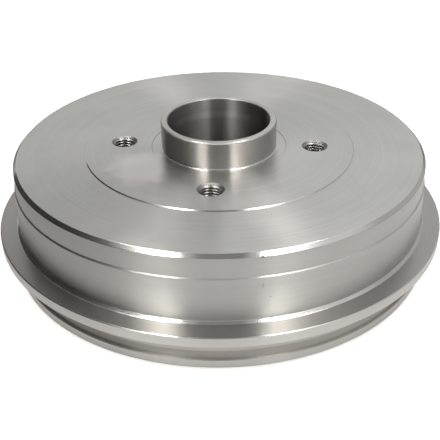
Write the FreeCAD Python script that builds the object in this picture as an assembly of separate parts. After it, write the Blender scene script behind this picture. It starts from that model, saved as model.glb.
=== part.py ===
import FreeCAD, Part

import math
import os

# A rear brake drum with its hub and wheel-bearing seat, one grey iron casting turned on a lathe.
# Millimetres. Z is the axle's line, Z = 0 is the face that the wheel sits on, and +Z points
# out of the car. The drum opens towards -Z and has its four wheel-bolt holes on X and Y.

# Drum, from the braking surface outwards
brake_diameter = 203.0
drum_depth = 58.5          # wheel face to the open rim
upper_wall = 5.0           # braking surface to the upper band outside
ledge = 0.6                # small 45 degree step under the upper band
upper_band = 12.0          # wheel face to the ledge

# Flange round the wall, its places measured up from the open rim
flange_reach = 15.75       # braking surface to the flange's outside
flange_foot = 24.3         # the lower band ends here
flange_cone = 1.3          # 45 degree cone at the foot of the wall
flange_slope = 0.35        # how far the flange's top falls on its way out
flange_band = 5.4          # height of the flange's outside
flange_edge = 0.4          # edges broken at 45 degrees

# Labyrinth groove under the flange, and the lip that dips into the backing plate
groove_height = 8.5        # top of the groove's straight back wall, where the flange's underside ends
lip_height = 4.6
lip_wall = 8.5             # braking surface to the outside of the lip
groove_depth = 1.5         # outside of the lip to the back of the groove
lip_edge = 0.4

# Inside of the drum
mouth_chamfer = 1.5
brake_width = 43.0         # braking surface, above the mouth chamfer
relief_depth = 0.8         # run-out groove between the braking surface and the web
web = 8.5                  # thickness of the drum's end wall
web_corner = 2.5           # the corner left at 45 degrees between relief and web

# Wheel face
land_diameter = 139.8      # raised land that the wheel touches
land_step = 0.5
face_chamfer = 1.8
relief_ring = 5.0          # shallow ring turned round the collar's foot
relief_ring_depth = 0.2

# Centring collar
collar_diameter = 60.0
collar_height = 14.4
collar_chamfer = 0.6
collar_root = 0.6          # 45 degree corner left at its foot

# Bore, from the collar's rim inwards
cap_seat_diameter = 53.0
cap_seat_depth = 7.5
bore_edge = 0.4
bearing_entry_diameter = 52.4    # the bearing slides in through here
bearing_diameter = 52.0
bearing_width = 37.0
ring_setback = 10.3        # wheel face to the retaining ring's groove
ring_groove_width = 2.15
ring_groove_depth = 1.5
shoulder = 3.0             # metal behind the bearing
shoulder_height = 3.0      # how far it stands in front of the bearing's outer race
boss_wall = 9.0            # bearing seat to the outside of the boss, at its end
boss_draft = 1.5
boss_fillet = 4.0
boss_chamfer = 2.0

# Wheel-bolt holes, tapped M12 x 1.5
bolt_circle = 100.0
bolt_count = 4
tap_drill_diameter = 10.5
countersink_diameter = 13.5
hub_plate = 14.0           # thickness under the holes
hub_plate_margin = 12.0    # bolt circle to the edge of the thick plate
hub_plate_slope = 4.0      # its edge runs out into the thinner web over this length

tool_overrun = 1.0         # cutting tools reach this far past the metal


def rounded_corner(before, corner, after):
    """The points where a corner's arc starts and ends, with the arc between, or the bare corner."""
    point = FreeCAD.Vector(corner[0], 0, corner[1])
    to_before = FreeCAD.Vector(before[0], 0, before[1]) - point
    to_after = FreeCAD.Vector(after[0], 0, after[1]) - point
    opening = to_before.getAngle(to_after)
    if corner[2] == 0:
        return point, point, None
    # a rounding never takes more than its share of the shorter side
    most = 0.45 * min(to_before.Length, to_after.Length)
    setback = min(corner[2] / math.tan(opening / 2), most)
    radius = setback * math.tan(opening / 2)
    start = point + to_before.normalize() * setback
    end = point + to_after.normalize() * setback
    inward = (start + end) * 0.5 - point
    centre_distance = radius / math.sin(opening / 2)
    middle = point + inward.normalize() * (centre_distance - radius)
    return start, end, Part.Arc(start, middle, end).toShape()


def section(corners):
    """A closed face in the XZ plane through corners given as (radius, height, rounding)."""
    count = len(corners)
    turned = []
    for i in range(count):
        turned.append(rounded_corner(corners[i - 1], corners[i], corners[(i + 1) % count]))
    edges = []
    for i in range(count):
        start, end, arc = turned[i]
        next_start = turned[(i + 1) % count][0]
        if arc:
            edges.append(arc)
        if end.distanceToPoint(next_start) > 1e-6:
            edges.append(Part.makeLine(end, next_start))
    return Part.Face(Part.Wire(edges))


def collar_and_face():
    """From the collar's rim over the wheel face to the edge of the drum."""
    collar = collar_diameter / 2
    land = land_diameter / 2
    rim_of_face = brake_diameter / 2 + upper_wall
    ring = collar + relief_ring
    return [
        (collar - collar_chamfer, collar_height, 0),
        (collar, collar_height - collar_chamfer, 0),
        (collar, collar_root - relief_ring_depth, 0),
        (collar + collar_root, -relief_ring_depth, 0),
        (ring, -relief_ring_depth, 0),
        (ring + relief_ring_depth, 0, 0),
        (land - land_step / 2, 0, 0),
        (land + land_step / 2, -land_step, 0),
        (rim_of_face - face_chamfer, -land_step, 0),
        (rim_of_face, -land_step - face_chamfer, 0),
    ]


def outer_wall():
    """Down the outside of the drum to the open rim."""
    brake = brake_diameter / 2
    band = brake + upper_wall
    foot = band + ledge
    flange = brake + flange_reach
    lip = brake + lip_wall
    groove = lip - groove_depth
    foot_height = flange_foot - drum_depth
    flange_top = foot_height - flange_cone - flange_slope
    flange_bottom = flange_top - flange_band
    return [
        (band, -upper_band, 0),
        (foot, -upper_band - ledge, 0),
        (foot, foot_height, 0),
        (foot + flange_cone, foot_height - flange_cone, 0),
        (flange - flange_edge, flange_top, 0),
        (flange, flange_top - flange_edge, 0),
        (flange, flange_bottom + flange_edge, 0),
        (flange - flange_edge, flange_bottom, 0),
        (groove, groove_height - drum_depth, 0),
        (groove, lip_height - drum_depth, 0),
        (lip - lip_edge, lip_height - drum_depth, 0),
        (lip, lip_height - drum_depth - lip_edge, 0),
        (lip, lip_edge - drum_depth, 0),
        (lip - lip_edge, -drum_depth, 0),
    ]


def inner_wall():
    """From the open rim up the braking surface and in along the underside to the boss."""
    brake = brake_diameter / 2
    relief = brake + relief_depth
    surface_start = mouth_chamfer - drum_depth
    surface_end = surface_start + brake_width
    plate = bolt_circle / 2 + hub_plate_margin
    boss = bearing_diameter / 2 + boss_wall
    boss_end = -ring_setback - ring_groove_width - bearing_width - shoulder
    return [
        (brake + mouth_chamfer, -drum_depth, 0),
        (brake, surface_start, 0),
        (brake, surface_end, 0),
        (relief, surface_end + relief_depth, 0),
        (relief, -web - web_corner, 0),
        (relief - web_corner, -web, 0),
        (plate + hub_plate_slope, -web, 0),
        (plate, -hub_plate, 0),
        (boss + boss_draft, -hub_plate, boss_fillet),
        (boss, boss_end + boss_chamfer, 0),
        (boss - boss_chamfer, boss_end, 0),
    ]


def bore():
    """From the boss's end out through the bearing seat to the collar's rim."""
    seat = bearing_diameter / 2
    entry = bearing_entry_diameter / 2
    cap_seat = cap_seat_diameter / 2
    shoulder_bore = seat - shoulder_height
    ring_outer_side = -ring_setback
    ring_inner_side = ring_outer_side - ring_groove_width
    seat_end = ring_inner_side - bearing_width
    boss_end = seat_end - shoulder
    cap_stop = collar_height - cap_seat_depth
    return [
        (shoulder_bore + bore_edge, boss_end, 0),
        (shoulder_bore, boss_end + bore_edge, 0),
        (shoulder_bore, seat_end, 0),
        (seat, seat_end, 0),
        (seat, ring_inner_side, 0),
        (seat + ring_groove_depth, ring_inner_side, 0),
        (seat + ring_groove_depth, ring_outer_side, 0),
        (entry, ring_outer_side, 0),
        (entry, cap_stop - (cap_seat - entry), 0),
        (cap_seat, cap_stop, 0),
        (cap_seat, collar_height - bore_edge, 0),
        (cap_seat + bore_edge, collar_height, 0),
    ]


def casting():
    """The whole turned body, without the bolt holes."""
    face = section(collar_and_face() + outer_wall() + inner_wall() + bore())
    return face.revolve(FreeCAD.Vector(0, 0, 0), FreeCAD.Vector(0, 0, 1), 360)


def bolt_hole_tool():
    """One wheel-bolt hole on +X: the tapping drill with a 90 degree countersink at each end."""
    drill = tap_drill_diameter / 2
    mouth = countersink_diameter / 2 + tool_overrun
    cone_height = mouth - drill
    place = FreeCAD.Vector(bolt_circle / 2, 0, 0)
    up = FreeCAD.Vector(0, 0, 1)
    bottom = -hub_plate - tool_overrun
    hole = Part.makeCylinder(drill, hub_plate + 2 * tool_overrun, place + up * bottom, up)
    outside = Part.makeCone(drill, mouth, cone_height, place + up * (tool_overrun - cone_height), up)
    inside = Part.makeCone(mouth, drill, cone_height, place + up * bottom, up)
    return hole.fuse([outside, inside])


def brake_drum():
    """The finished drum."""
    tool = bolt_hole_tool()
    tools = []
    for i in range(bolt_count):
        turned = tool.copy()
        turned.rotate(FreeCAD.Vector(0, 0, 0), FreeCAD.Vector(0, 0, 1), 360.0 * i / bolt_count)
        tools.append(turned)
    return casting().cut(tools).Solids[0]


os.makedirs("parts", exist_ok=True)
brake_drum().exportStep("parts/brake_drum.step")
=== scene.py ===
import math

import bmesh
import bpy
from mathutils import Matrix, Vector


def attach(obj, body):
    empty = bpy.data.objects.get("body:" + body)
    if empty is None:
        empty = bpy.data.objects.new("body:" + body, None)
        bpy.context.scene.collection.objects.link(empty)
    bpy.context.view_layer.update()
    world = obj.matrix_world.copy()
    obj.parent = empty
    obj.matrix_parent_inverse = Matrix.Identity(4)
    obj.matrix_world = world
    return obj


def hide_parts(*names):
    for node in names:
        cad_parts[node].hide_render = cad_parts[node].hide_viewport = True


# The drum is turned again here from the same section as the solid, with rounded edges and cut
# threads, so that its highlights run smoothly. Sizes of the drum are in millimetres, with the
# wheel face at height 0, and MM turns them into Blender's metres.
MM = 0.001

# Inside of the drum
BRAKE_RADIUS = 101.5
OPEN_RIM = -58.5
MOUTH_CHAMFER = 1.5
BRAKE_START = OPEN_RIM + MOUTH_CHAMFER
BRAKE_END = BRAKE_START + 43.0
RELIEF_DEPTH = 0.8
RELIEF_RADIUS = BRAKE_RADIUS + RELIEF_DEPTH
WEB = -8.5
WEB_CORNER = 2.5
HUB_PLATE = -14.0
HUB_PLATE_RADIUS = 62.0
HUB_PLATE_SLOPE = 4.0

# Wall and wheel face
BAND_RADIUS = BRAKE_RADIUS + 5.0
LEDGE = -12.0
LEDGE_STEP = 0.6
LOWER_BAND_RADIUS = BAND_RADIUS + LEDGE_STEP
FOOT = OPEN_RIM + 24.3
LAND_RADIUS = 69.9
LAND_STEP = 0.5
FACE_CHAMFER = 1.8

# Flange, groove and lip
FOOT_CONE = 1.3
CONE_RADIUS = LOWER_BAND_RADIUS + FOOT_CONE
FLANGE_RADIUS = BRAKE_RADIUS + 15.75
FLANGE_SLOPE = 0.35        # how far the flange's top falls on its way out
FLANGE_TOP = FOOT - FOOT_CONE - FLANGE_SLOPE
FLANGE_BOTTOM = FLANGE_TOP - 5.4
LIP_RADIUS = BRAKE_RADIUS + 8.5
LIP_TOP = OPEN_RIM + 4.6
GROOVE_RADIUS = LIP_RADIUS - 1.5
GROOVE_TOP = OPEN_RIM + 8.5

# Collar, with the shallow ring turned round its foot
COLLAR_RADIUS = 30.0
COLLAR_TOP = 14.4
COLLAR_CHAMFER = 0.6
COLLAR_FOOT = 0.9          # the corner at its foot is rounded below this height over the ring
RING = -0.2
RING_RADIUS = COLLAR_RADIUS + 5.0

# Bore and boss
CAP_SEAT_RADIUS = 26.5
CAP_STOP = COLLAR_TOP - 7.5
CAP_STOP_SLOPE = 3.5       # height of the slope that stops the cap
ENTRY_RADIUS = 26.2
SEAT_RADIUS = 26.0
SNAP_GROOVE_RADIUS = SEAT_RADIUS + 1.5
SNAP_GROOVE_TOP = -10.3
SNAP_GROOVE_BOTTOM = SNAP_GROOVE_TOP - 2.15
SEAT_END = SNAP_GROOVE_BOTTOM - 37.0
SHOULDER_RADIUS = SEAT_RADIUS - 3.0
BOSS_END = SEAT_END - 3.0
BOSS_RADIUS = SEAT_RADIUS + 9.0
BOSS_DRAFT = 1.5
BOSS_CHAMFER = 2.0

EDGE = 0.4                 # 45 degree edges of the flange, the lip and the bore
LARGEST_SHARE = 0.45       # a rounding takes no more than this share of a side

# Bolt holes
BOLT_CIRCLE_RADIUS = 50.0
BOLT_COUNT = 4
DRILL_RADIUS = 5.25
THREAD_RADIUS = 6.0
THREAD_PITCH = 1.5
OUTER_FLAT = 1 / 8         # shares of the pitch that lie at the thread's outer radius,
FLANK = 5 / 16             # on each flank,
INNER_FLAT = 1 / 4         # and at the drill's radius
COUNTERSINK_RADIUS = 6.75
CUTTER_OVERRUN = 1.0

# Dents in the wall as (degrees round, radius, height, half sizes around, inwards and along)
DENTS = [
    (284.4, BAND_RADIUS + 0.1, -2.5, (0.8, 0.5, 0.7)),
    (284.5, LOWER_BAND_RADIUS + 0.05, -16.5, (0.15, 0.12, 2.0)),
    (286.3, LOWER_BAND_RADIUS + 0.05, -23.0, (0.3, 0.25, 0.3)),
]

# Fineness of the meshes
AROUND = 288
ARC_STEPS = 3
LONGEST_STEP = 1.0
HOLE_AROUND = 64
HOLE_ROWS_PER_PITCH = 10
CRISP_ANGLE = 32           # degrees between faces from which an edge is shaded sharp

# Camera, as found from the rings of the drum in the photograph
CAMERA_TURN = 4.78         # degrees round the axle from a bolt hole
CAMERA_DISTANCE = 404.1    # level distance from the axle
CAMERA_HEIGHT = 194.9      # above the wheel face
CAMERA_DOWN = 30.88        # degrees
CAMERA_ROLL = -0.78
PHOTO_WIDTH = 440
FOCAL_PIXELS = 851.0
SENSOR = 36.0

# From here on sizes are in metres, and -Y is the side that the photograph was taken from.

NEAREST = 0.01             # the camera sees nothing nearer than this

# Turned surfaces
NOISE_RANGE = (0.3, 0.7)   # Blender's noise seldom leaves it
BROAD_FEED = 0.0008        # pitch of the tool marks
FINE_FEED = 0.0004
FINEST_FEED = 0.0003
MARK_DEPTH = 1e-6
GROUND_DEPTH = 5e-7
BANDS_PER_MARK = 0.25      # broader bands among the marks
STAIN_SIZE = 0.03
MARK_SHARE = 0.6           # how far the marks and the bands show beside the stains
BAND_SHARE = 0.4
METAL_TONES = (0.95, 1.05)          # shares of the colour where it is darkest and palest
METAL_TONE_RANGE = (0.2, 0.8)       # values of the pattern at which it gets there
QUARTER_TURN = 0.25        # lays the stretch of a highlight across the tool marks

# Cast skin
GRAIN_SIZE = 0.0012
HOLLOW_SIZE = 0.009
GRAIN_SHARE = 0.5
CAST_DEPTH = 0.0004
CAST_TONES = (0.65, 1.3)
CAST_TONE_RANGE = (0.25, 0.75)
CAST_ROUGHNESS = (0.62, 0.85)
CAST_METALLIC = 0.6

# Pale, faintly brown patch that lightens the wheel face beside the collar
PALE_PATCH = Vector((-0.0385, -0.026, 0))
PALE_PATCH_FULL = 0.00875      # it has its full colour up to here from its middle
PALE_PATCH_END = 0.021875      # and is gone from here on
PALE_PATCH_BLOTCHES = 0.009
PALE_PATCH_RAGGED = 0.014      # how far its edge wanders

# Floor. Its glow and its reflection both start round the drum's open rim, at these distances
# from the axle.
FLOOR_HALF_WIDTH = 4.0
FLOOR_COLOUR = (0.8, 0.785, 0.77, 1)
FLOOR_WHITE = (1, 0.98, 0.96, 1)
FLOOR_GLOW = 0.5           # what the white of the floor needs besides the light on it
GLOW_RANGE = (0.104, 0.114)
# painted contact shadow in the floor's reflection, from black to none between these distances
PAINTED_CONTACT_SHADOW_RANGE = (0.098, 0.12)
# the metal sees a painted pool of light on the floor round this spot
BRIGHT_SPOT = Vector((0.08, -0.07, 0))    # middle of the floor that the metal sees lit
BRIGHT_LEVEL = 0.88
BRIGHT_RANGE = (0.12, 0.5)                # it fades between these distances from there

# Walls of the room as (name, start, end, grey at the floor, grey at the ceiling), their places
# in shares of ROOM_SIDE
ROOM_SIDE = 1.3
ROOM_HEIGHT = 1.4
WALLS = [
    ("room_left", (-1, -1), (-1, 1), 0.08, 0.0),
    ("room_back_left", (-1, 1), (0, 1), 0.94, 0.3),
    ("room_back_right", (0, 1), (1, 1), 0.69, 0.82),
    ("room_right_back", (1, 0), (1, 1), 0.75, 0.54),
    ("room_right_front", (1, -1), (1, 0), 0.5, 1.3),
    ("room_front", (-1, -1), (1, -1), 0.85, 0.55),
]

# Ceiling as (name, left, right, front, back, grey)
CEILING_SPLIT = -0.2       # between its back and front parts
CEILING_GAP = 0.3          # half the width of the dark part over the camera
CEILINGS = [
    ("ceiling_back", -ROOM_SIDE, ROOM_SIDE, CEILING_SPLIT, ROOM_SIDE, 0.86),
    ("ceiling_left", -ROOM_SIDE, -CEILING_GAP, -ROOM_SIDE, CEILING_SPLIT, 0.91),
    ("ceiling_middle", -CEILING_GAP, CEILING_GAP, -ROOM_SIDE, CEILING_SPLIT, 0.2),
    ("ceiling_right", CEILING_GAP, ROOM_SIDE, -ROOM_SIDE, CEILING_SPLIT, 0.91),
]

# Strip lights overhead as (name, side, back, front, radiance)
STRIP_SIDE = 0.465
STRIP_HEIGHT = 1.0
STRIP_WIDTH = 0.16
STRIP_COLOUR = (1.0, 0.96, 0.935)
STRIPS = [
    ("left_strip_front", -1, -0.6, -0.95, 15),
    ("left_strip_middle", -1, -0.25, -0.6, 24),
    ("left_strip_back", -1, 0.1, -0.25, 9),
    ("right_strip_front", 1, -0.6, -0.95, 18),
    ("right_strip_middle", 1, -0.25, -0.6, 19),
    ("right_strip_back", 1, 0.1, -0.25, 13),
]
WORLD_COLOUR = (1, 1, 1, 1)
WORLD_LIGHT = 0.5          # the world's strength where it lights the floor

# Numbers of the colour sockets of Blender's Mix node
MIX_SHARE = 0
MIX_FIRST = 6
MIX_SECOND = 7
MIX_RESULT = 2


def drum_section():
    """Corners of the section, from the collar's rim over the outside and back up the bore.

    Each is (radius, height, rounding, finish), with the finish of the stretch that leaves it."""
    return [
        (COLLAR_RADIUS - COLLAR_CHAMFER, COLLAR_TOP, 0.5, "edge"),
        (COLLAR_RADIUS, COLLAR_TOP - COLLAR_CHAMFER, 0.4, "collar"),
        (COLLAR_RADIUS, RING + COLLAR_FOOT, 0, "face"),
        (COLLAR_RADIUS, RING, 0.8, "face"),
        (RING_RADIUS, RING, 0, "edge"),
        (RING_RADIUS - RING, 0, 0.05, "face"),
        (LAND_RADIUS - LAND_STEP / 2, 0, 0.05, "rim"),
        (LAND_RADIUS + LAND_STEP / 2, -LAND_STEP, 0.05, "face"),
        (BAND_RADIUS - FACE_CHAMFER, -LAND_STEP, 0.6, "rim"),
        (BAND_RADIUS, -LAND_STEP - FACE_CHAMFER, 0.4, "wall"),
        (BAND_RADIUS, LEDGE, 0.85, "wall"),
        (LOWER_BAND_RADIUS, LEDGE - LEDGE_STEP, 0.85, "wall"),
        (LOWER_BAND_RADIUS, FOOT, 0.5, "rim"),
        (CONE_RADIUS, FOOT - FOOT_CONE, 0.5, "flange_top"),
        (FLANGE_RADIUS - EDGE, FLANGE_TOP, 0.15, "rim"),
        (FLANGE_RADIUS, FLANGE_TOP - EDGE, 0.15, "flange"),
        (FLANGE_RADIUS, FLANGE_BOTTOM + EDGE, 0.15, "flange"),
        (FLANGE_RADIUS - EDGE, FLANGE_BOTTOM, 0.15, "groove"),
        (GROOVE_RADIUS, GROOVE_TOP, 0.3, "groove"),
        (GROOVE_RADIUS, LIP_TOP, 0.2, "groove"),
        (LIP_RADIUS - EDGE, LIP_TOP, 0.1, "groove"),
        (LIP_RADIUS, LIP_TOP - EDGE, 0.1, "flange"),
        (LIP_RADIUS, OPEN_RIM + EDGE, 0.1, "groove"),
        (LIP_RADIUS - EDGE, OPEN_RIM, 0.1, "face"),
        (BRAKE_RADIUS + MOUTH_CHAMFER, OPEN_RIM, 0.1, "brake"),
        (BRAKE_RADIUS, BRAKE_START, 0.1, "brake"),
        (BRAKE_RADIUS, BRAKE_END, 0.1, "brake"),
        (RELIEF_RADIUS, BRAKE_END + RELIEF_DEPTH, 0.1, "brake"),
        (RELIEF_RADIUS, WEB - WEB_CORNER, 0.5, "cast"),
        (RELIEF_RADIUS - WEB_CORNER, WEB, 1.5, "cast"),
        (HUB_PLATE_RADIUS + HUB_PLATE_SLOPE, WEB, 3.0, "cast"),
        (HUB_PLATE_RADIUS, HUB_PLATE, 1.5, "cast"),
        (BOSS_RADIUS + BOSS_DRAFT, HUB_PLATE, 4.0, "cast"),
        (BOSS_RADIUS, BOSS_END + BOSS_CHAMFER, 0.8, "cast"),
        (BOSS_RADIUS - BOSS_CHAMFER, BOSS_END, 0.5, "face"),
        (SHOULDER_RADIUS + EDGE, BOSS_END, 0.1, "bore"),
        (SHOULDER_RADIUS, BOSS_END + EDGE, 0.1, "bore"),
        (SHOULDER_RADIUS, SEAT_END, 0.1, "bore"),
        (SEAT_RADIUS, SEAT_END, 0.3, "bore"),
        (SEAT_RADIUS, SNAP_GROOVE_BOTTOM, 0.1, "bore"),
        (SNAP_GROOVE_RADIUS, SNAP_GROOVE_BOTTOM, 0.1, "bore"),
        (SNAP_GROOVE_RADIUS, SNAP_GROOVE_TOP, 0.1, "bore"),
        (ENTRY_RADIUS, SNAP_GROOVE_TOP, 0.1, "bore"),
        (ENTRY_RADIUS, CAP_STOP - CAP_STOP_SLOPE, 2.0, "bore"),
        (CAP_SEAT_RADIUS, CAP_STOP, 2.0, "bore"),
        (CAP_SEAT_RADIUS, COLLAR_TOP - EDGE, 0.3, "edge"),
        (CAP_SEAT_RADIUS + EDGE, COLLAR_TOP, 0.3, "face"),
    ]


def rounded_outline(corners):
    """The section's points as (radius, height, finish), with the corners rounded."""
    points = []
    count = len(corners)
    for i in range(count):
        before, corner, after = corners[i - 1], corners[i], corners[(i + 1) % count]
        at = Vector(corner[:2])
        rounding, finish = corner[2:]
        if rounding == 0:
            points.append((at.x, at.y, finish))
            continue
        to_before = Vector(before[:2]) - at
        to_after = Vector(after[:2]) - at
        half_opening = to_before.angle(to_after) / 2
        most = LARGEST_SHARE * min(to_before.length, to_after.length)
        setback = min(rounding / math.tan(half_opening), most)
        radius = setback * math.tan(half_opening)
        to_before.normalize()
        to_after.normalize()
        centre = at + (to_before + to_after).normalized() * (radius / math.sin(half_opening))
        start = at + to_before * setback - centre
        end = at + to_after * setback - centre
        turn = start.angle_signed(end)
        steps = max(ARC_STEPS, math.ceil(radius * abs(turn) / LONGEST_STEP))
        for step in range(steps + 1):
            spoke = start.copy()
            spoke.rotate(Matrix.Rotation(-turn * step / steps, 2))
            point = centre + spoke
            points.append((point.x, point.y, finish if step == steps else before[3]))
    return points


def ring_of_points(bm, centre, radii, height):
    """New points round an upright line, one for each radius."""
    points = []
    for i, radius in enumerate(radii):
        angle = 2 * math.pi * i / len(radii)
        spoke = Vector((radius * math.cos(angle), radius * math.sin(angle), height))
        points.append(bm.verts.new((centre + spoke) * MM))
    return points


def band_of_faces(bm, here, there):
    """The faces between two rings of points."""
    count = len(here)
    faces = []
    for i in range(count):
        j = (i + 1) % count
        faces.append(bm.faces.new((here[i], here[j], there[j], there[i])))
    return faces


def finished_mesh(name, bm):
    """A mesh with what was built in bm."""
    mesh = bpy.data.meshes.new(name)
    bm.to_mesh(mesh)
    bm.free()
    return mesh


def turned_mesh(name, points, finishes):
    """A closed mesh made by turning the section round the axle."""
    bm = bmesh.new()
    axle = Vector((0, 0, 0))
    rings = [ring_of_points(bm, axle, [radius] * AROUND, height) for radius, height, _ in points]
    for k in range(len(rings)):
        for face in band_of_faces(bm, rings[k], rings[(k + 1) % len(rings)]):
            face.material_index = finishes.index(points[k][2])
    bmesh.ops.recalc_face_normals(bm, faces=bm.faces)
    return finished_mesh(name, bm)


def thread_radius(angle, height):
    """The wall of a right-hand internal thread, wider where the countersinks are."""
    phase = (height / THREAD_PITCH - angle / (2 * math.pi)) % 1.0
    if phase < OUTER_FLAT:
        share = 1.0
    elif phase < OUTER_FLAT + FLANK:
        share = 1 - (phase - OUTER_FLAT) / FLANK
    elif phase < OUTER_FLAT + FLANK + INNER_FLAT:
        share = 0.0
    else:
        share = (phase - OUTER_FLAT - FLANK - INNER_FLAT) / FLANK
    thread = DRILL_RADIUS + (THREAD_RADIUS - DRILL_RADIUS) * share
    end_distance = min(-height, height - HUB_PLATE)
    return max(thread, COUNTERSINK_RADIUS - end_distance)


def add_threaded_plug(bm, centre):
    """The space that the tap and the countersinks leave, a little longer than the hole."""
    top = CUTTER_OVERRUN
    bottom = HUB_PLATE - CUTTER_OVERRUN
    rows = round((top - bottom) / THREAD_PITCH * HOLE_ROWS_PER_PITCH)
    rings = []
    for k in range(rows + 1):
        height = bottom + (top - bottom) * k / rows
        angles = [2 * math.pi * i / HOLE_AROUND for i in range(HOLE_AROUND)]
        radii = [thread_radius(angle, height) for angle in angles]
        rings.append(ring_of_points(bm, centre, radii, height))
    for here, there in zip(rings, rings[1:]):
        band_of_faces(bm, here, there)
    bm.faces.new(reversed(rings[0]))
    bm.faces.new(rings[-1])


def add_dent(bm, azimuth, radius, height, reach):
    """A small flattened ball that takes a dent out of the wall."""
    around, inwards, along = reach
    turn = Matrix.Rotation(math.radians(azimuth), 4, "Z")
    place = Matrix.Translation(Vector((radius, 0, height)) * MM)
    flatten = Matrix.Diagonal((inwards * MM, around * MM, along * MM, 1))
    bmesh.ops.create_icosphere(bm, subdivisions=2, radius=1.0, matrix=turn @ place @ flatten)


def cutter_mesh(thread, countersink):
    """One mesh with a threaded plug for each bolt hole, and the dents.

    thread and countersink are the numbers of the finishes that the cuts leave."""
    bm = bmesh.new()
    for hole in range(BOLT_COUNT):
        turn = Matrix.Rotation(2 * math.pi * hole / BOLT_COUNT, 3, "Z")
        add_threaded_plug(bm, turn @ Vector((BOLT_CIRCLE_RADIUS, 0, 0)))
    for azimuth, radius, height, reach in DENTS:
        add_dent(bm, azimuth, radius, height, reach)
    depth = (COUNTERSINK_RADIUS - THREAD_RADIUS) * MM
    for face in bm.faces:
        height = face.calc_center_median().z
        at_end = height > -depth or height < HUB_PLATE * MM + depth
        face.material_index = countersink if at_end else thread
    return finished_mesh("bolt_hole_cutters", bm)


def add_object(name, data):
    """A new object in the scene for a mesh, a camera or a light."""
    made = bpy.data.objects.new(name, data)
    bpy.context.scene.collection.objects.link(made)
    return made


def applied(piece):
    """Replaces a piece's mesh by what its modifiers make of it."""
    evaluated = piece.evaluated_get(bpy.context.evaluated_depsgraph_get())
    mesh = bpy.data.meshes.new_from_object(evaluated)
    piece.modifiers.clear()
    piece.data = mesh


def build_drum(materials):
    """The whole drum with its threaded holes, shaded smoothly with crisp edges."""
    finishes = list(materials)
    outline = rounded_outline(drum_section())
    drum = add_object("turned_drum", turned_mesh("turned_drum", outline, finishes))
    cuts = cutter_mesh(finishes.index("thread"), finishes.index("countersink"))
    cutters = add_object("bolt_hole_cutters", cuts)
    for piece in (drum, cutters):
        for material in materials.values():
            piece.data.materials.append(material)
    cut = drum.modifiers.new("bolt holes", "BOOLEAN")
    cut.operation = "DIFFERENCE"
    cut.solver = "EXACT"
    cut.object = cutters
    applied(drum)
    bpy.data.objects.remove(cutters)
    drum.data.polygons.foreach_set("use_smooth", [True] * len(drum.data.polygons))
    drum.data.set_sharp_from_angle(angle=math.radians(CRISP_ANGLE))
    weighted = drum.modifiers.new("flat faces first", "WEIGHTED_NORMAL")
    weighted.keep_sharp = True
    applied(drum)
    return drum


def set_inputs(tree, made, inputs):
    """Sets a node's inputs, by name or number, to plain values or to other nodes' outputs."""
    for key, value in inputs.items():
        if isinstance(value, bpy.types.NodeSocket):
            tree.links.new(value, made.inputs[key])
        else:
            made.inputs[key].default_value = value


def add_node(tree, kind, inputs, **settings):
    """A shader node with its settings and inputs."""
    made = tree.nodes.new(kind)
    for name, value in settings.items():
        setattr(made, name, value)
    set_inputs(tree, made, inputs)
    return made


def math_node(tree, operation, *values):
    """What a Math node makes of outputs or plain numbers."""
    made = add_node(tree, "ShaderNodeMath", dict(enumerate(values)), operation=operation)
    return made.outputs[0]


def new_material(name):
    """A material and its node tree."""
    material = bpy.data.materials.new(name)
    material.use_nodes = True
    return material, material.node_tree


def make_surface(tree, shader):
    """Makes a shader the material's surface, in place of the one that it starts with."""
    tree.nodes.remove(tree.nodes["Principled BSDF"])
    tree.links.new(shader.outputs[0], tree.nodes["Material Output"].inputs["Surface"])


def object_place(tree):
    """The place of a surface in its own object, in metres."""
    return tree.nodes.new("ShaderNodeTexCoord").outputs["Object"]


def smooth_map(tree, value, low, high, to_low=0.0, to_high=1.0):
    """Maps a value smoothly from one range to another."""
    inputs = {
        "Value": value,
        "From Min": low,
        "From Max": high,
        "To Min": to_low,
        "To Max": to_high,
    }
    made = add_node(tree, "ShaderNodeMapRange", inputs, interpolation_type="SMOOTHSTEP")
    return made.outputs["Result"]


def with_noise(tree, base, noise, share):
    """base plus a share of how far a noise is from its middle."""
    off_middle = math_node(tree, "SUBTRACT", noise, 0.5)
    return math_node(tree, "ADD", base, math_node(tree, "MULTIPLY", off_middle, share))


def mix_colours(tree, share, first, second):
    """Goes from the first colour to the second, either of which may be a node's output."""
    inputs = {MIX_SHARE: share, MIX_FIRST: first, MIX_SECOND: second}
    return add_node(tree, "ShaderNodeMix", inputs, data_type="RGBA").outputs[MIX_RESULT]


def shade_of(colour, brightness):
    """A colour made darker or lighter, as a socket takes it."""
    return (*[brightness * part for part in colour], 1)


def blotches(tree, size, detail=3.0):
    """Soft noise with no direction, from 0 to 1."""
    inputs = {"Vector": object_place(tree), "Scale": 1 / size, "Detail": detail}
    return add_node(tree, "ShaderNodeTexNoise", inputs).outputs["Fac"]


def turning_marks(tree, along, fineness):
    """Noise that runs round the axle in rings, as a cutting tool leaves it, from 0 to 1.

    along is how often it changes round a ring, and fineness how many changes come to a metre."""
    x, y, z = add_node(tree, "ShaderNodeSeparateXYZ", {0: object_place(tree)}).outputs
    x_square = math_node(tree, "MULTIPLY", x, x)
    y_square = math_node(tree, "MULTIPLY", y, y)
    radius = math_node(tree, "SQRT", math_node(tree, "ADD", x_square, y_square))
    place = {
        0: math_node(tree, "MULTIPLY", math_node(tree, "DIVIDE", x, radius), along),
        1: math_node(tree, "MULTIPLY", math_node(tree, "DIVIDE", y, radius), along),
        2: math_node(tree, "MULTIPLY", radius, fineness),
    }
    inputs = {
        "Vector": add_node(tree, "ShaderNodeCombineXYZ", place).outputs[0],
        "W": math_node(tree, "MULTIPLY", z, fineness),
        "Scale": 1.0,
        "Detail": 2.0,
    }
    return add_node(tree, "ShaderNodeTexNoise", inputs, noise_dimensions="4D").outputs["Fac"]


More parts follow.
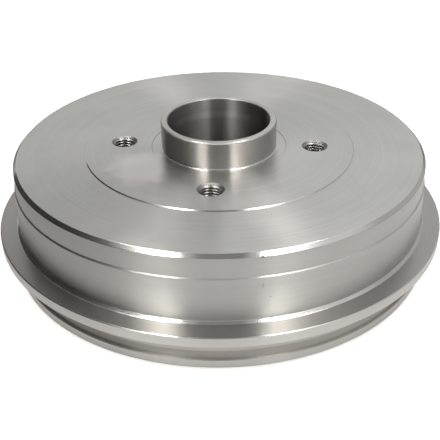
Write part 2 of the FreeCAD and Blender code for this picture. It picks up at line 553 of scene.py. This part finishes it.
def relief(tree, height, depth):
    """The surface's direction with a relief of a depth in metres."""
    inputs = {"Strength": 1.0, "Distance": depth, "Height": height}
    return add_node(tree, "ShaderNodeBump", inputs).outputs["Normal"]


def photo_side():
    """Turns a place given with the photograph's camera on -Y into the frame."""
    return Matrix.Rotation(math.radians(CAMERA_TURN), 4, "Z")


def distance_from(tree, place, point):
    """How far a place is from a point of the same object."""
    made = add_node(tree, "ShaderNodeVectorMath", {0: place, 1: point}, operation="DISTANCE")
    return made.outputs["Value"]


def with_pale_patch(tree, clean, colour):
    """The clean metal's colour with the pale patch over it, its edge blurred and uneven."""
    away = distance_from(tree, object_place(tree), photo_side() @ PALE_PATCH)
    ragged = with_noise(tree, away, blotches(tree, PALE_PATCH_BLOTCHES), PALE_PATCH_RAGGED)
    share = smooth_map(tree, ragged, PALE_PATCH_FULL, PALE_PATCH_END, 1.0, 0.0)
    return mix_colours(tree, share, clean, shade_of(colour, 1.0))


def turned_metal(
    name,
    colour,
    roughness,
    feed=BROAD_FEED,
    depth=MARK_DEPTH,
    anisotropy=1.0,
    unevenness=0.06,
    pale_patch=None,
):
    """Bare iron with circular tool marks that stretch its highlights across the marks.

    feed is the pitch of the marks and depth their height, in metres. Broader bands and faint
    stains lie over them, and pale_patch is the colour of the pale patch where there is one.
    unevenness is the stains' share in the roughness. That stays above or below 0.274 all over
    a surface, because the renderer's noise filter shows an edge at that value."""
    material, tree = new_material(name)
    marks = turning_marks(tree, along=1.0, fineness=1 / feed)
    bands = turning_marks(tree, along=0.5, fineness=BANDS_PER_MARK / feed)
    stains = blotches(tree, STAIN_SIZE)
    pattern = with_noise(tree, with_noise(tree, stains, marks, MARK_SHARE), bands, BAND_SHARE)
    light = smooth_map(tree, pattern, *METAL_TONE_RANGE)
    darkest, palest = METAL_TONES
    shade = mix_colours(tree, light, shade_of(colour, darkest), shade_of(colour, palest))
    if pale_patch:
        shade = with_pale_patch(tree, shade, pale_patch)
    smoothest = roughness * (1 - unevenness)
    roughest = roughness * (1 + unevenness)
    inputs = {
        "Base Color": shade,
        "Metallic": 1.0,
        "Roughness": smooth_map(tree, stains, *NOISE_RANGE, smoothest, roughest),
        "Anisotropic": anisotropy,
        "Anisotropic Rotation": QUARTER_TURN,
        "Normal": relief(tree, marks, depth),
    }
    set_inputs(tree, tree.nodes["Principled BSDF"], inputs)
    return material


def cast_skin(name, colour):
    """Rough sand-cast iron, grey-brown and matt, with fine grains and shallow hollows."""
    material, tree = new_material(name)
    grains = blotches(tree, GRAIN_SIZE, detail=4.0)
    hollows = blotches(tree, HOLLOW_SIZE, detail=2.0)
    height = with_noise(tree, hollows, grains, GRAIN_SHARE)
    light = smooth_map(tree, height, *CAST_TONE_RANGE)
    darkest, palest = CAST_TONES
    inputs = {
        "Base Color": mix_colours(tree, light, shade_of(colour, darkest), shade_of(colour, palest)),
        "Metallic": CAST_METALLIC,
        "Roughness": smooth_map(tree, grains, *NOISE_RANGE, *CAST_ROUGHNESS),
        "Normal": relief(tree, height, CAST_DEPTH),
    }
    set_inputs(tree, tree.nodes["Principled BSDF"], inputs)
    return material


def make_materials():
    """Every finish of the drum, by the name that the section uses."""
    return {
        "face": turned_metal(
            "turned_face", (0.582, 0.579, 0.551), 0.22, pale_patch=(0.8, 0.755, 0.725)
        ),
        "wall": turned_metal("turned_wall", (0.536, 0.539, 0.517), 0.285, unevenness=0.03),
        "collar": turned_metal("turned_collar", (0.38, 0.366, 0.35), 0.29, unevenness=0.03),
        # A darker copy of the turned iron on small chamfers and the ring's step: painted shade that
        # dims their highlights and draws the ring as a dark line.
        "edge": turned_metal("broken_edges_painted_shade", (0.33, 0.325, 0.31), 0.5, anisotropy=0.3),
        "rim": turned_metal("turned_rims", (0.50, 0.49, 0.47), 0.21),
        "flange_top": turned_metal(
            "turned_flange_top", (0.40, 0.39, 0.372), 0.25, anisotropy=0.8
        ),
        "flange": turned_metal("turned_flange", (0.64, 0.632, 0.606), 0.35, anisotropy=0.9),
        "groove": turned_metal("turned_groove", (0.58, 0.555, 0.52), 0.5),
        "brake": turned_metal("bored_brake_surface", (0.45, 0.44, 0.425), 0.38, feed=FINE_FEED),
        "bore": turned_metal(
            "ground_bore", (0.35, 0.34, 0.325), 0.32, feed=FINEST_FEED, depth=GROUND_DEPTH
        ),
        # The thread is a darker copy of the turned iron: painted shade inside the bolt holes.
        "thread": turned_metal(
            "cut_thread_painted_shade", (0.3, 0.295, 0.285), 0.33, feed=FINEST_FEED, anisotropy=0.0
        ),
        # The countersinks are a darker copy too: painted shade that dims their highlights.
        "countersink": turned_metal(
            "countersunk_edges_painted_shade", (0.23, 0.225, 0.215), 0.5, feed=FINEST_FEED, anisotropy=0.0
        ),
        "cast": cast_skin("cast_skin", (0.2, 0.185, 0.17)),
    }


def add_camera():
    """The camera where the photograph was taken from."""
    data = bpy.data.cameras.new("camera")
    data.sensor_width = SENSOR
    data.lens = SENSOR * FOCAL_PIXELS / PHOTO_WIDTH
    data.clip_start = NEAREST
    camera = add_object("camera", data)
    place = Matrix.Translation(Vector((0, -CAMERA_DISTANCE, CAMERA_HEIGHT)) * MM)
    tilt = Matrix.Rotation(math.radians(90 - CAMERA_DOWN), 4, "X")
    roll = Matrix.Rotation(math.radians(CAMERA_ROLL), 4, "Z")
    camera.matrix_world = photo_side() @ place @ tilt @ roll
    bpy.context.scene.camera = camera


def floor_material():
    """White to the camera and shaded by the drum.

    The metal sees a painted pool of light round the drum, dark further off, and painted contact
    shadow at the open rim."""
    material, tree = new_material("pale_floor")
    place = object_place(tree)
    away = distance_from(tree, place, Vector((0, 0, 0)))
    diffuse = add_node(tree, "ShaderNodeBsdfDiffuse", {"Color": FLOOR_COLOUR})
    glow_level = math_node(tree, "MULTIPLY", smooth_map(tree, away, *GLOW_RANGE), FLOOR_GLOW)
    glow = add_node(tree, "ShaderNodeEmission", {"Color": FLOOR_WHITE, "Strength": glow_level})
    shown = add_node(tree, "ShaderNodeAddShader", {0: diffuse.outputs[0], 1: glow.outputs[0]})

    path = tree.nodes.new("ShaderNodeLightPath").outputs
    # What the metal sees of the floor: a painted pool of light, and painted contact shadow at the
    # rim.
    from_spot = distance_from(tree, place, photo_side() @ BRIGHT_SPOT)
    lit = smooth_map(tree, from_spot, *BRIGHT_RANGE, BRIGHT_LEVEL, 0.0)
    painted_contact_shadow = smooth_map(tree, away, *PAINTED_CONTACT_SHADOW_RANGE)
    painted_floor_light = math_node(tree, "MULTIPLY", lit, painted_contact_shadow)
    level = math_node(tree, "MULTIPLY", path["Is Glossy Ray"], painted_floor_light)
    mirrored = add_node(tree, "ShaderNodeEmission", {"Color": FLOOR_WHITE, "Strength": level})

    seen = math_node(tree, "MAXIMUM", path["Is Camera Ray"], path["Is Transmission Ray"])
    both = {0: seen, 1: mirrored.outputs[0], 2: shown.outputs[0]}
    make_surface(tree, add_node(tree, "ShaderNodeMixShader", both))
    return material


def add_floor():
    """A pale floor under the open rim."""
    bm = bmesh.new()
    bmesh.ops.create_grid(bm, x_segments=1, y_segments=1, size=FLOOR_HALF_WIDTH)
    mesh = finished_mesh("floor", bm)
    mesh.materials.append(floor_material())
    floor = add_object("floor", mesh)
    floor.location.z = OPEN_RIM * MM


def card_material(name, low_grey, high_grey):
    """A glowing grey that changes evenly from the floor to the ceiling."""
    material, tree = new_material(name)
    parts = add_node(tree, "ShaderNodeSeparateXYZ", {0: object_place(tree)})
    inputs = {
        "Value": parts.outputs["Z"],
        "From Min": OPEN_RIM * MM,
        "From Max": ROOM_HEIGHT,
        "To Min": low_grey,
        "To Max": high_grey,
    }
    grey = add_node(tree, "ShaderNodeMapRange", inputs)
    make_surface(tree, add_node(tree, "ShaderNodeEmission", {"Strength": grey.outputs["Result"]}))
    return material


def add_card(name, corners, low_grey, high_grey):
    """A grey card of the studio, which only shows in the metal's reflections."""
    mesh = bpy.data.meshes.new(name)
    mesh.from_pydata([photo_side() @ Vector(corner) for corner in corners], [], [(0, 1, 2, 3)])
    mesh.materials.append(card_material(name, low_grey, high_grey))
    card = add_object(name, mesh)
    card.visible_camera = False
    card.visible_diffuse = False
    card.visible_shadow = False


def add_room():
    """Grey walls and ceiling of the studio, darkest on the left."""
    low = OPEN_RIM * MM
    high = ROOM_HEIGHT
    for name, start, end, low_grey, high_grey in WALLS:
        start = Vector(start) * ROOM_SIDE
        end = Vector(end) * ROOM_SIDE
        corners = [(*start, low), (*end, low), (*end, high), (*start, high)]
        add_card(name, corners, low_grey, high_grey)
    for name, left, right, front, back, grey in CEILINGS:
        corners = [
            (left, front, high),
            (right, front, high),
            (right, back, high),
            (left, back, high),
        ]
        add_card(name, corners, grey, grey)


def add_world():
    """White behind everything, and half as bright where it lights the floor."""
    world = bpy.data.worlds.new("studio")
    bpy.context.scene.world = world
    world.use_nodes = True
    tree = world.node_tree
    path = tree.nodes.new("ShaderNodeLightPath").outputs
    seen = math_node(tree, "MAXIMUM", path["Is Camera Ray"], path["Is Glossy Ray"])
    seen = math_node(tree, "MAXIMUM", seen, path["Is Transmission Ray"])
    strength = math_node(tree, "MAXIMUM", seen, WORLD_LIGHT)
    set_inputs(tree, tree.nodes["Background"], {"Color": WORLD_COLOUR, "Strength": strength})


def add_strip(name, side, back, front, radiance):
    """A long narrow light overhead, left or right of the camera's line of sight."""
    data = bpy.data.lights.new(name, "AREA")
    data.shape = "RECTANGLE"
    data.size = STRIP_WIDTH
    data.size_y = back - front
    data.energy = radiance * math.pi * data.size * data.size_y
    data.color = STRIP_COLOUR
    lamp = add_object(name, data)
    lean = Matrix.Rotation(side * math.atan(STRIP_SIDE / STRIP_HEIGHT), 4, "Y")
    place = Matrix.Translation((side * STRIP_SIDE, (back + front) / 2, STRIP_HEIGHT))
    lamp.matrix_world = photo_side() @ place @ lean
    lamp.visible_camera = False


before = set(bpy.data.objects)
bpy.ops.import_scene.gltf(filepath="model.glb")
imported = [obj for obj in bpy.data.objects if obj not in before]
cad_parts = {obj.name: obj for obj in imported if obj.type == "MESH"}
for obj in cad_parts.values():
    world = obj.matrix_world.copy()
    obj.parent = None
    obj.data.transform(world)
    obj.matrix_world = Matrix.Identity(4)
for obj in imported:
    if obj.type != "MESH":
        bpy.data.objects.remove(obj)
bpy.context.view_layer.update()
bpy.context.scene.view_settings.view_transform = "Standard"

drum = build_drum(make_materials())
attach(drum, "root")
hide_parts("brake_drum")

add_floor()
add_room()
add_world()
for strip in STRIPS:
    add_strip(*strip)
add_camera()
